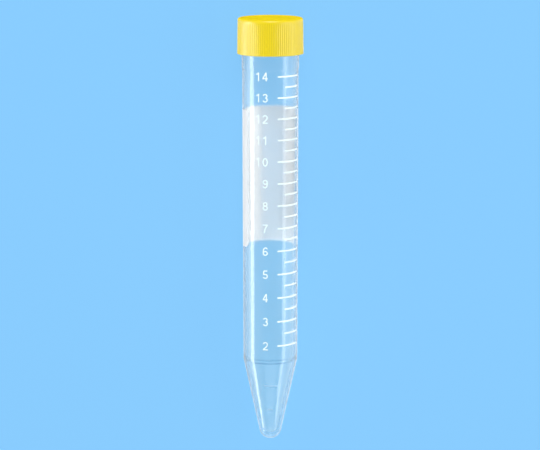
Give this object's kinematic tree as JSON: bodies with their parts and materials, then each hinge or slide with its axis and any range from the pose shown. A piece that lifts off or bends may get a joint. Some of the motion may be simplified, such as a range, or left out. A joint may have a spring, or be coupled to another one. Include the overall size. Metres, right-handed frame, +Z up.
{
  "type": "conical screw-cap tube",
  "caption": "Clear conical-bottom sample tube of about 15 ml, lying on its side, with a printed volume scale, a white writing field and a yellow ribbed screw cap that lifts off.",
  "frame": {"origin": "on the surface the tube lies on, under the middle of its length", "axes": "+Y along the tube's length towards the cap, +Z up, with the front of the scale facing up; the tube's own axis rises 1.07 degrees towards the cap, because the cap is wider than the tube"},
  "size_m": [0.0186, 0.1216, 0.0187],
  "materials": {
    "clear_plastic": "clear, smooth moulded polypropylene",
    "yellow_plastic": "yellow, satin moulded plastic",
    "white_print": "white printed ink"
  },
  "bodies": {
    "tube": {"tube": "clear_plastic"},
    "cap": {"cap": "yellow_plastic"}
  },
  "joints": [
    {"name": "cap_lift", "type": "slide", "parent": "tube", "child": "cap", "axis": [0, 0.9998, 0.0188], "range_m": [0, 0.03]}
  ]
}
